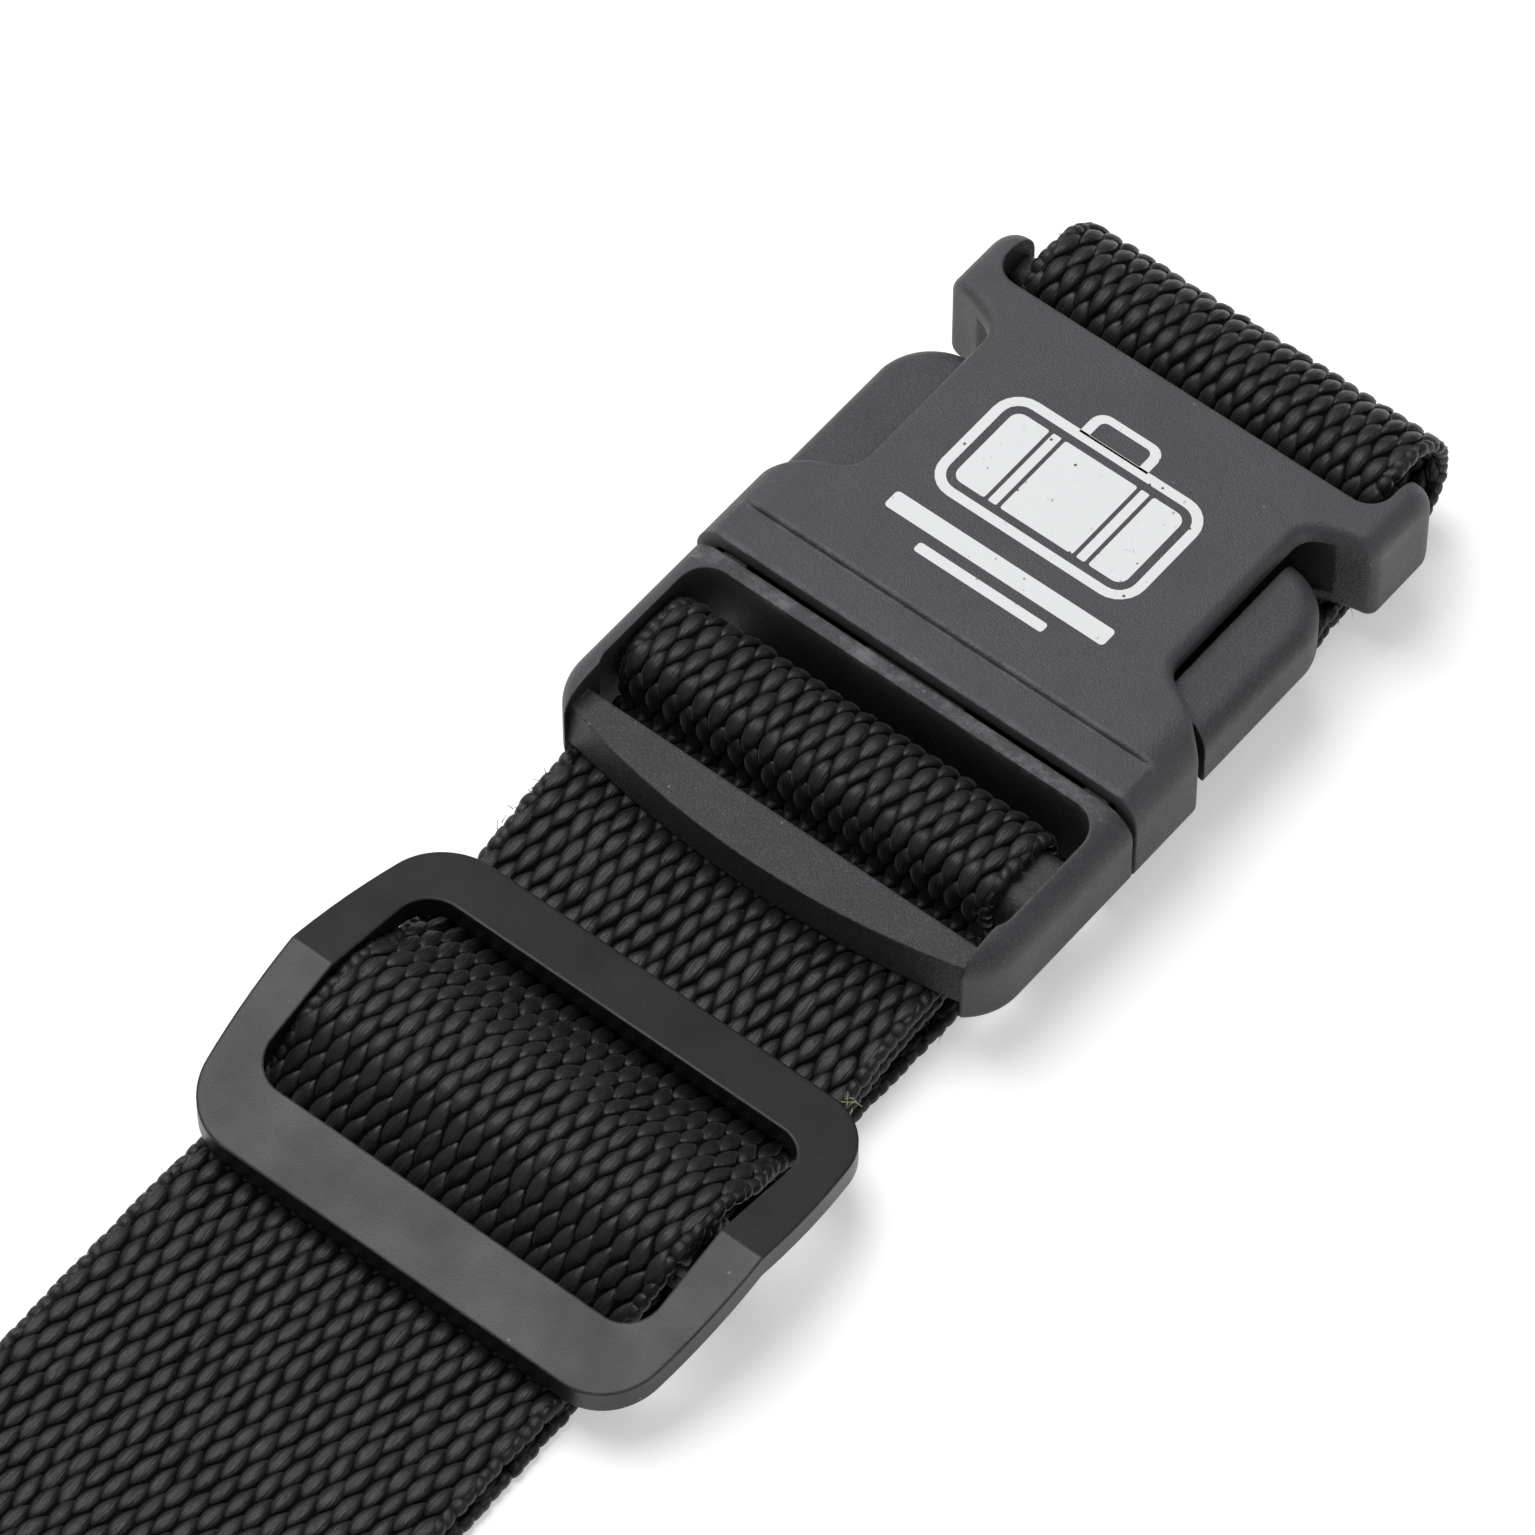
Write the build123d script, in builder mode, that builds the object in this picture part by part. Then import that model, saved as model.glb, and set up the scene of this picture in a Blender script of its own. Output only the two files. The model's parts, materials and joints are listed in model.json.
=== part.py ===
from build123d import *
import os

os.makedirs("parts", exist_ok=True)

# Luggage strap, millimetres, lying flat as a closed loop. +Z is up from the table, +Y runs along
# the strap from the adjuster to the buckle's socket half, and y = 0 is the buckle's mouth.

# Webbing
web_width = 49.5
web_thick = 1.7
half_web = web_thick / 2

# Buckle envelope
half_width = 29.2
bottom_z = 4.4
panel_z = 17.6
collar_z = 17.0
mouth_y = 0.9

# Socket half
collar_length = 5.1
flank_y = 11.5
waist_half = 20.7
waist_near_y = 19.0
waist_far_y = 38.0
ear_half = 28.5
ear_near_y = 42.5
ear_far_y = 53.6
slot_near_y = 46.0
slot_half = 25.6
slot_corner_radius = 3.0
cavity_half = 26.4
cavity_bottom_z = 6.7
cavity_top_z = 15.2
cavity_far_y = 41.5
far_bar_y = 51.1
far_bar_z = 10.6
far_bar_length = 4.4
far_bar_height = 6.4
far_bar_round = 1.9

flare_point = (24.6, 14.9)
flare_tangents = ((-1, 0.5), (0, 1))
ear_point = (23.2, 41.2)
ear_tangents = ((0, 1), (1, 0.1))

# Plug half
frame_far_y = 0.2
frame_near_y = -26.9
frame_top_z = 15.6
frame_round = 3.6
window_half = 26.7
window_far_y = -1.6
window_near_y = -20.5
window_corner_radius = 3.6
front_bar_top_z = 12.8
front_bar_bottom_z = 7.6
passage_half = 26.2
front_bar_end_y = -23.2
front_bar_foot_y = -24.0
front_bar_middle_y = -26.8
plug_bar_y = -10.25
plug_bar_length = 8.9
plug_bar_bottom_z = 6.3
plug_bar_top_z = 12.95
plug_bar_round = 2.25
prong_bottom_z = 7.0
prong_top_z = 14.9
arm_inner_x = 22.4
arm_outer_x = 25.4
shoulder_y = 14.2
shoulder_end_y = 13.3
lobe_outer_x = 28.5
lobe_inner_x = 21.4
lobe_far_y = 37.4
lobe_step = 2.0
lobe_tip = 1.6
lobe_end = 6.5
tongue_far_y = 33.0
tongue_half = 6.5
tongue_taper = 2.0
tongue_nose = 4.0
tongue_clearance = 0.4

# Adjuster
slide_far_y = -41.8
slide_near_y = -84.8
slide_crease_y = -63.5
slide_x = 0.9
slide_half = 30.9
slide_corner_half = 28.5
slide_corner_radius = 7.5
slide_thick = 3.0
slide_far_z = 5.4
slide_crease_z = 9.7
slide_near_z = 4.0
slot_far_y = -48.7
slot_end_y = -77.0
slot_half_x = 25.5
slide_bar_half = 2.4
slide_bar_bottom_z = 5.3
slide_bar_top_z = 8.1
bar_round = 1.1
slot_radius = 4.0
cheek_wide = 3.2
cheek_tall = 6.0
cheek_z = 8.0

# Stored length
roll_radius = 28.4
roll_y = -186.0
roll_lead = 14.0

layer_gap = 0.05

# Rounding
flank_round = 4.6
under_round = 1.6
ear_round = 2.6
tip_top_round = 4.2
tip_under_round = 6.0
rim_round = 0.4
waist_round = 1.2
cavity_round = 0.6
lobe_round = 2.4
lobe_end_radius = 7.5
corner_y = -18.6
corner_x = 21.8
corner_near_y = -26.0

# Where one stretch of webbing hands over to the next
tail_end_y = 21.0
loop_near_y = 47.9
loop_near_radius = 3.0
loop_crest_radius = 3.0
loop_far_radius = 7.3
loop_top_z = 16.1
loop_far_y = 61.2
loop_end_y = 42.0
split_y = -24.0
plug_ramp_near_y = -41.5
plug_ramp_far_y = -30.5
ramp_radius = 12.0
wrap_radius = 3.0
wrap_foot_radius = 1.3
plug_run_z = 6.55
plug_return_z = 4.55
plug_wrap_near_y = -15.6
plug_wrap_far_y = -4.9
plug_wrap_top_z = 13.9
sleeve_y = -45.0
hump_end_y = -86.5
hump_far_foot_y = -48.2
hump_far_y = -59.3
hump_near_y = -67.9
hump_near_foot_y = -78.2
hump_z = 10.85
hump_foot_radius = 7.0
hump_radius = 5.0
sewn_end_y = -51.6
sewn_near_y = -66.9
sewn_far_y = -60.1
sewn_top_z = 9.1
sewn_radius = 2.0
plug_webbing_shift = -0.9
hump_webbing_shift = 0.2

# Stitching
stitch_long = 2.4
stitch_wide = 0.6
stitch_proud = 0.3
stitch_pitch = 2.1
stitch_count = 20
row_pitch = 3.0
stitch_lean = 55
socket_seam = 8.0
socket_rows = 4
slider_seam = 3.2
slider_rows = 2


def layer_z(number):
    """Middle height of the webbing layer with this number, counted up from the table."""
    return (number + 0.5) * web_thick + number * layer_gap


def webbing(label, points, radii, shift=0.0):
    """A stretch of webbing whose middle line is given in the side view."""
    with BuildPart() as band:
        with BuildSketch(Plane.YZ.offset(shift - web_width / 2)):
            with BuildLine():
                FilletPolyline(*points, radius=radii)
            trace(line_width=web_thick)
        extrude(amount=web_width)
    save(band, label)


def flat_run(label, start_y, end_y, layer):
    """A straight stretch of webbing lying level, as the layer with this number."""
    with BuildPart() as band:
        with BuildSketch(Plane.XY.offset(layer_z(layer) - half_web)):
            with Locations((0, (start_y + end_y) / 2)):
                Rectangle(web_width, abs(start_y - end_y))
        extrude(amount=web_thick)
    save(band, label)


def tip_edges(builder):
    """Upper edges at the far end of a part."""
    far_end = builder.edges().filter_by(Axis.X).group_by(Axis.Y)[-1]
    return far_end.group_by(Axis.Z)[-1]


def long_edges(builder, low_y, high_y, beyond_x, level):
    """Lowest (level 0) or highest (level -1) edges along Y in a range, out past a distance in X."""
    along = builder.edges().filter_by(Axis.Y).filter_by_position(Axis.Y, low_y, high_y)
    return along.filter_by(lambda edge: abs(edge.center().X) > beyond_x).group_by(Axis.Z)[level]


def panel_edges(builder):
    """Edges round the topmost level face."""
    return builder.faces().filter_by(Axis.Z).sort_by(Axis.Z)[-1].edges()


def save(builder, label):
    builder.part.label = label
    export_step(builder.part, f"parts/{label}.step")


# ---------------------------------------------------------------- socket half

with BuildPart() as female_shell:
    # outline in plan: collar, flanks that flare in to the waist, ears past the waist
    with BuildSketch(Plane.XY.offset(bottom_z)):
        with BuildLine():
            start = Line((0, mouth_y), (half_width, mouth_y))
            flank = Line(start @ 1, (half_width, flank_y))
            flare = Spline(
                flank @ 1,
                flare_point,
                (waist_half, waist_near_y),
                tangents=flare_tangents,
            )
            waist = Line(flare @ 1, (waist_half, waist_far_y))
            ear = Spline(
                waist @ 1,
                ear_point,
                (ear_half, ear_near_y),
                tangents=ear_tangents,
            )
            side = Line(ear @ 1, (ear_half, ear_far_y))
            end = Line(side @ 1, (slot_half, ear_far_y))
            inner = Line(end @ 1, (slot_half, slot_near_y + slot_corner_radius))
            corner = TangentArc(
                inner @ 1, (slot_half - slot_corner_radius, slot_near_y), tangent=(0, -1)
            )
            Line(corner @ 1, (0, slot_near_y))
            mirror(about=Plane.YZ)
        make_face()
    extrude(amount=panel_z - bottom_z)
    # ear tips are rounded in the side view
    fillet(tip_edges(female_shell), tip_top_round)
    # long edges of the collar's flanks and of the ears are rounded, most of all on top
    fillet(long_edges(female_shell, mouth_y, flank_y, 0, -1), flank_round)
    fillet(long_edges(female_shell, mouth_y, flank_y, 0, 0), under_round)
    fillet(long_edges(female_shell, ear_near_y, ear_far_y, slot_half + 1, 0), under_round)
    fillet(long_edges(female_shell, ear_near_y, ear_far_y, slot_half + 1, -1), ear_round)
    # collar band, a shade lower than the panel
    with BuildSketch(Plane.XZ.offset(-mouth_y)):
        with Locations((0, panel_z)):
            Rectangle(2 * half_width + 2, 2 * (panel_z - collar_z))
    extrude(amount=-collar_length, mode=Mode.SUBTRACT)
    # rims of the panel
    near_rims = panel_edges(female_shell).filter_by_position(Axis.Y, mouth_y, waist_far_y)
    fillet(near_rims.filter_by(Axis.X), rim_round)
    sides = panel_edges(female_shell).filter_by_position(Axis.Y, flank_y, ear_near_y)
    fillet(sides.filter_by(lambda edge: abs(edge.center().X) < slot_half), waist_round)
    # ear tips sweep up from underneath
    with BuildSketch(Plane.YZ):
        with Locations((ear_far_y - tip_under_round / 2, bottom_z + tip_under_round / 2)):
            Rectangle(tip_under_round, tip_under_round)
        with Locations((ear_far_y - tip_under_round, bottom_z + tip_under_round)):
            Circle(tip_under_round, mode=Mode.SUBTRACT)
    extrude(amount=ear_half + 1, both=True, mode=Mode.SUBTRACT)
    # hollow for the plug, open at the mouth and through both sides
    with BuildSketch(Plane.XZ.offset(-mouth_y)):
        with Locations((0, (cavity_top_z + cavity_bottom_z) / 2)):
            RectangleRounded(2 * cavity_half, cavity_top_z - cavity_bottom_z, cavity_round)
    extrude(amount=-(cavity_far_y - mouth_y), mode=Mode.SUBTRACT)
save(female_shell, "female_shell")

with BuildPart() as female_bar:
    with BuildSketch(Plane.YZ.offset(-slot_half)):
        with Locations((far_bar_y, far_bar_z)):
            RectangleRounded(far_bar_length, far_bar_height, far_bar_round)
    extrude(amount=2 * slot_half)
save(female_bar, "female_bar")

webbing(
    "female_loop_webbing",
    (
        (tail_end_y, layer_z(1)),
        (loop_near_y, layer_z(1)),
        (loop_near_y, loop_top_z),
        (loop_far_y, loop_top_z),
        (loop_far_y, layer_z(0)),
        (loop_end_y, layer_z(0)),
    ),
    (loop_near_radius, loop_crest_radius, loop_far_radius, loop_far_radius),
)
flat_run("under_run_far", loop_end_y, split_y, 0)

# ------------------------------------------------------------------ plug half

with BuildPart() as male_frame:
    with BuildSketch(Plane.XY.offset(bottom_z)):
        with BuildLine():
            far_edge = Line((-half_width, frame_far_y), (half_width, frame_far_y))
            right = Line(far_edge @ 1, (half_width, corner_y))
            right_corner = TangentArc(right @ 1, (corner_x, corner_near_y), tangent=(0, -1))
            near_edge = ThreePointArc(
                right_corner @ 1, (0, frame_near_y), (-corner_x, corner_near_y)
            )
            TangentArc((-half_width, corner_y), near_edge @ 1, tangent=(0, -1))
            Line((-half_width, corner_y), far_edge @ 0)
        make_face()
    extrude(amount=frame_top_z - bottom_z)
    outer = male_frame.faces().filter_by(Axis.Z).sort_by(Axis.Z)
    fillet(outer[-1].edges().sort_by(Axis.Y)[:-1], frame_round)
    fillet(outer[0].edges().sort_by(Axis.Y)[:-1], under_round)
    # window for the webbing
    with BuildSketch(Plane.XY.offset(bottom_z)):
        with Locations((0, (window_far_y + window_near_y) / 2)):
            RectangleRounded(2 * window_half, window_far_y - window_near_y, window_corner_radius)
    extrude(amount=frame_top_z - bottom_z, mode=Mode.SUBTRACT)
    # webbing's passage between the side rails, and the bowed front bar above it
    with BuildSketch(Plane.XY.offset(bottom_z)):
        with Locations((0, window_near_y + window_corner_radius)):
            Rectangle(
                2 * passage_half,
                window_corner_radius + window_near_y - frame_near_y + 1,
                align=(Align.CENTER, Align.MAX),
            )
    extrude(amount=frame_top_z - bottom_z, mode=Mode.SUBTRACT)
    for level, end_y in ((front_bar_bottom_z, front_bar_foot_y), (front_bar_top_z, front_bar_end_y)):
        with BuildSketch(Plane.XY.offset(level)):
            with BuildLine():
                back = Line((-window_half, window_near_y), (window_half, window_near_y))
                bow = ThreePointArc(
                    (window_half, end_y), (0, front_bar_middle_y), (-window_half, end_y)
                )
                Line(back @ 1, bow @ 0)
                Line(bow @ 1, back @ 0)
            make_face()
    loft()
save(male_frame, "male_frame")

with BuildPart() as male_bar:
    with BuildSketch(Plane.YZ.offset(-window_half)):
        with Locations((plug_bar_y, (plug_bar_bottom_z + plug_bar_top_z) / 2)):
            RectangleRounded(plug_bar_length, plug_bar_top_z - plug_bar_bottom_z, plug_bar_round)
    extrude(amount=2 * window_half)
save(male_bar, "male_bar")

with BuildPart() as guide_tongue:
    with BuildSketch(Plane.XY.offset(prong_bottom_z + tongue_clearance)):
        with BuildLine():
            Polyline(
                (-tongue_half, frame_far_y),
                (tongue_half, frame_far_y),
                (tongue_half - tongue_taper, tongue_far_y - tongue_nose),
                (0, tongue_far_y),
                (tongue_taper - tongue_half, tongue_far_y - tongue_nose),
                close=True,
            )
        make_face()
    extrude(amount=prong_top_z - prong_bottom_z - 2 * tongue_clearance)
save(guide_tongue, "guide_tongue")


def prong(label, side):
    """A springy arm and its thumb lobe. side is 1 for +X and -1 for -X."""
    with BuildPart() as arm:
        with BuildSketch(Plane.XY.offset(prong_bottom_z)):
            with BuildLine():
                inner = Polyline(
                    (side * arm_outer_x, frame_far_y),
                    (side * arm_inner_x, frame_far_y),
                    (side * arm_inner_x, shoulder_y - lobe_step),
                    (side * lobe_inner_x, shoulder_y + lobe_step),
                    (side * lobe_inner_x, lobe_far_y),
                )
                tip = Line(inner @ 1, (side * (lobe_inner_x + lobe_tip), lobe_far_y))
                shoulder = Polyline(
                    (side * arm_outer_x, frame_far_y),
                    (side * arm_outer_x, shoulder_y),
                    (side * cavity_half, shoulder_y),
                    (side * lobe_outer_x, shoulder_end_y),
                    (side * lobe_outer_x, lobe_far_y - lobe_end),
                )
                RadiusArc(shoulder @ 1, tip @ 1, -side * lobe_end_radius)
            make_face()
        extrude(amount=prong_top_z - prong_bottom_z)
        outer = arm.edges().filter_by_position(Axis.Y, shoulder_y + 1, lobe_far_y + 1)
        outer = outer.filter_by(lambda e: abs(e.center().X) > lobe_inner_x + 2)
        fillet(outer.group_by(Axis.Z)[-1], lobe_round)
        outer = arm.edges().filter_by_position(Axis.Y, shoulder_y + 1, lobe_far_y + 1)
        outer = outer.filter_by(lambda e: abs(e.center().X) > lobe_inner_x + 2)
        fillet(outer.group_by(Axis.Z)[0], lobe_round / 2)
    save(arm, label)


prong("right_prong", 1)
prong("left_prong", -1)

webbing(
    "male_loop_webbing",
    (
        (sleeve_y, layer_z(2)),
        (plug_ramp_near_y, layer_z(2)),
        (plug_ramp_far_y, plug_run_z),
        (plug_wrap_near_y, plug_run_z),
        (plug_wrap_near_y, plug_wrap_top_z),
        (plug_wrap_far_y, plug_wrap_top_z),
        (plug_wrap_far_y, plug_return_z),
        (plug_ramp_far_y, plug_return_z),
        (plug_ramp_near_y, layer_z(1)),
        (sleeve_y, layer_z(1)),
    ),
    (ramp_radius, ramp_radius, wrap_foot_radius, wrap_radius, wrap_radius)
    + (wrap_foot_radius, ramp_radius, ramp_radius),
    shift=plug_webbing_shift,
)

# ------------------------------------------------------------------- adjuster

with BuildPart() as slider_frame:
    with BuildSketch(Plane.XY) as plan:
        with BuildLine():
            far = Line(
                (slide_x - slide_corner_half, slide_far_y), (slide_x + slide_corner_half, slide_far_y)
            )
            right_bow = ThreePointArc(
                far @ 1,
                (slide_x + slide_half, slide_crease_y),
                (slide_x + slide_corner_half, slide_near_y),
            )
            near = Line(right_bow @ 1, (slide_x - slide_corner_half, slide_near_y))
            ThreePointArc(near @ 1, (slide_x - slide_half, slide_crease_y), far @ 0)
        make_face()
        fillet(plan.vertices(), slide_corner_radius)
        with Locations((slide_x, (slot_far_y + slot_end_y) / 2)):
            RectangleRounded(
                2 * slot_half_x, slot_far_y - slot_end_y, slot_radius, mode=Mode.SUBTRACT
            )
    extrude(amount=panel_z)
    # inverted V in the side view
    with BuildSketch(Plane.YZ.offset(-slide_half - 1)):
        with BuildLine():
            Polyline(
                (slide_far_y + 1, slide_far_z),
                (slide_crease_y, slide_crease_z),
                (slide_near_y - 1, slide_near_z),
                (slide_near_y - 1, slide_near_z + slide_thick),
                (slide_crease_y, slide_crease_z + slide_thick),
                (slide_far_y + 1, slide_far_z + slide_thick),
                close=True,
            )
        make_face()
    extrude(amount=2 * (slide_half + 1) + slide_x, mode=Mode.INTERSECT)
    # cheeks that carry the centre bar below the crease
    with BuildSketch(Plane.XZ.offset(-slide_crease_y - slide_bar_half)):
        with Locations((slide_x, cheek_z)):
            with GridLocations(2 * slot_half_x + cheek_wide, 0, 2, 1):
                Rectangle(cheek_wide, cheek_tall)
    extrude(amount=2 * slide_bar_half)
save(slider_frame, "slider_frame")

with BuildPart() as slider_bar:
    with BuildSketch(Plane.YZ.offset(slide_x - slot_half_x)):
        with Locations((slide_crease_y, (slide_bar_bottom_z + slide_bar_top_z) / 2)):
            RectangleRounded(2 * slide_bar_half, slide_bar_top_z - slide_bar_bottom_z, bar_round)
    extrude(amount=2 * slot_half_x)
save(slider_bar, "slider_bar")

webbing(
    "hump_webbing",
    (
        (sleeve_y, layer_z(2)),
        (hump_far_foot_y, layer_z(2)),
        (hump_far_y, hump_z),
        (hump_near_y, hump_z),
        (hump_near_foot_y, layer_z(1)),
        (hump_end_y, layer_z(1)),
    ),
    (hump_foot_radius, hump_radius, hump_radius, hump_foot_radius),
    shift=hump_webbing_shift,
)
webbing(
    "slider_sewn_webbing",
    (
        (sleeve_y, layer_z(1)),
        (sewn_near_y, layer_z(1)),
        (sewn_near_y, sewn_top_z),
        (sewn_far_y, sewn_top_z),
        (sewn_far_y, layer_z(2)),
        (sewn_end_y, layer_z(2)),
    ),
    (sewn_radius, sewn_radius, sewn_radius, sewn_radius),
    shift=hump_webbing_shift,
)

# ------------------------------------------------------- the rest of the strap

flat_run("main_run", hump_end_y, roll_y + roll_lead, 1)
flat_run("under_run_near", split_y, roll_y + roll_lead, 0)

# both runs wound up together; the last of them lies flat as it comes off the roll
with BuildPart() as webbing_roll:
    with BuildSketch(Plane.YZ.offset(-web_width / 2)):
        with Locations((roll_y, roll_radius)):
            Circle(roll_radius)
        with Locations((roll_y + roll_lead / 2, web_thick + layer_gap / 2)):
            Rectangle(roll_lead, 2 * web_thick + layer_gap)
    extrude(amount=web_width)
save(webbing_roll, "webbing_roll")


def stitches(label, centre_y, seat_z, rows):
    """Rows of zigzag tacks, standing a little proud of the webbing they hold."""
    with BuildPart() as tacks:
        with BuildSketch(Plane.XY.offset(seat_z)):
            with Locations((0, centre_y)):
                with GridLocations(stitch_pitch, row_pitch, stitch_count, rows):
                    SlotOverall(stitch_long, stitch_wide, rotation=stitch_lean)
        extrude(amount=stitch_proud)
    save(tacks, label)


stitches("female_stitching", tail_end_y + socket_seam, layer_z(1) + half_web, socket_rows)
stitches("slider_stitching", sewn_end_y - slider_seam, layer_z(2) + half_web, slider_rows)
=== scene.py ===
import json
import math

import bpy
import numpy as np
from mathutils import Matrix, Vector


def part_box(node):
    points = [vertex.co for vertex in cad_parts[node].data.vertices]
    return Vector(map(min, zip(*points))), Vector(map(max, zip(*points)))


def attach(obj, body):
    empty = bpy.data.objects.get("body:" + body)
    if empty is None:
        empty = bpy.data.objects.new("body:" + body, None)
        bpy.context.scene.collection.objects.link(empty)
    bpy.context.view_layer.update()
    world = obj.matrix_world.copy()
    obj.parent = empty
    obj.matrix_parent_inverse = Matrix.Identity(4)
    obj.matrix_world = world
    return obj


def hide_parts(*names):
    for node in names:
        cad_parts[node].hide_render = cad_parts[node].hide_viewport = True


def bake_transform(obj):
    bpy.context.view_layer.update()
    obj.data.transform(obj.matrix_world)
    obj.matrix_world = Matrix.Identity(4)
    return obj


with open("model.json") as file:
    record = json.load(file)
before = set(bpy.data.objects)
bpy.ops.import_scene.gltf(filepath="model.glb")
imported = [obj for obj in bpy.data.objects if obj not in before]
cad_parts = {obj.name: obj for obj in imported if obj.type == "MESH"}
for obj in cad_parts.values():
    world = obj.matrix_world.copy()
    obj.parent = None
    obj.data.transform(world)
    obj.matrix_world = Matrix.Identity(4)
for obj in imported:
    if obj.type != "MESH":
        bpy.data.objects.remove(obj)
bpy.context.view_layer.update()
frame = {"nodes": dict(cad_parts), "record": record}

MM = 0.001
rng = np.random.default_rng(20)

# Driving sizes, in mm, in the CAD's frame
WEB_WIDTH = 49.5
WEB_THICK = 1.7
LAYER = 1.75  # from one layer of webbing to the next
PANEL_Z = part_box("female_shell")[1].z / MM
ROLL_LOW, ROLL_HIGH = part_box("webbing_roll")
ROLL_RADIUS = (ROLL_HIGH.z - ROLL_LOW.z) / 2 / MM
ROLL_Y = ROLL_LOW.y / MM + ROLL_RADIUS
ROLL_TURNS = 6.35
TURN_POINTS = 200  # points of the route in each turn of the roll
SLEEVE_Y = -46.4  # main and plug webbing meet here, under the adjuster's far bar
CORE_HALF = 0.32  # half the thickness of the dark core between the yarns
CORE_EDGE = 0.7  # the core stops this far in from the webbing's edge
DRAWN_IN_Y = (38.0, 46.0)  # the webbing narrows over this stretch, before the socket's bar
DRAWN_IN = (1.0, 0.965)

# Weave, in mm
YARN_PITCH = 2.2
ROW_PITCH = 3.1
YARN_HALF = 2.45
YARN_BASE = 0.18
YARN_HIGH = 0.72
AROUND = 10  # points round each yarn


def layer_z(number):
    return LAYER * number + WEB_THICK / 2


# ---------------------------------------------------------------- camera, light and floor

VIEW_AZIMUTH = math.radians(39.0)
VIEW_ELEVATION = math.radians(55.0)
VIEW_TARGET = Vector((-3.4 * MM, -19.2 * MM, PANEL_Z * MM))
VIEW_DISTANCE = 1.077
LENS = 246.0
# one softbox overhead, in from the side that the photograph's shadows fall away from
SOFTBOX_TOWARD = Vector((-0.40, 0.12, 0.91)).normalized()
SOFTBOX_DISTANCE = 1.37
SOFTBOX_SIZE = 1.0
SOFTBOX_WATTS = 13.9
FLOOR_REACH = 6.0


def make_camera():
    back = Vector(
        (
            math.sin(VIEW_AZIMUTH) * math.cos(VIEW_ELEVATION),
            -math.cos(VIEW_AZIMUTH) * math.cos(VIEW_ELEVATION),
            math.sin(VIEW_ELEVATION),
        )
    )
    data = bpy.data.cameras.new("camera")
    data.sensor_width = 36.0
    data.lens = LENS
    data.clip_start = 0.05
    camera = bpy.data.objects.new("camera", data)
    bpy.context.scene.collection.objects.link(camera)
    camera.location = VIEW_TARGET + VIEW_DISTANCE * back
    camera.rotation_euler = back.to_track_quat("Z", "Y").to_euler()
    bpy.context.scene.camera = camera


def make_softbox():
    data = bpy.data.lights.new("softbox", "AREA")
    data.shape = "RECTANGLE"
    data.size = data.size_y = SOFTBOX_SIZE
    data.energy = SOFTBOX_WATTS
    light = bpy.data.objects.new("softbox", data)
    bpy.context.scene.collection.objects.link(light)
    light.location = SOFTBOX_DISTANCE * SOFTBOX_TOWARD
    light.rotation_euler = SOFTBOX_TOWARD.to_track_quat("Z", "Y").to_euler()


def make_studio():
    scene = bpy.context.scene
    scene.view_settings.view_transform = "Standard"
    world = bpy.data.worlds.new("studio")
    scene.world = world
    world.use_nodes = True
    background = world.node_tree.nodes["Background"]
    background.inputs["Color"].default_value = (1, 1, 1, 1)
    background.inputs["Strength"].default_value = 0.3
    make_softbox()
    reach = FLOOR_REACH
    mesh = bpy.data.meshes.new("floor")
    corners = [(-reach, -reach, 0), (reach, -reach, 0), (reach, reach, 0), (-reach, reach, 0)]
    mesh.from_pydata(corners, [], [(0, 1, 2, 3)])
    floor = bpy.data.objects.new("floor", mesh)
    scene.collection.objects.link(floor)
    look = Look("floor_white", (0.9, 0.9, 0.9), 0.8)
    look.shader.inputs["Emission Color"].default_value = (1, 1, 1, 1)
    look.shader.inputs["Emission Strength"].default_value = 0.42
    floor.data.materials.append(look.material)


# ---------------------------------------------------------------- materials


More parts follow.
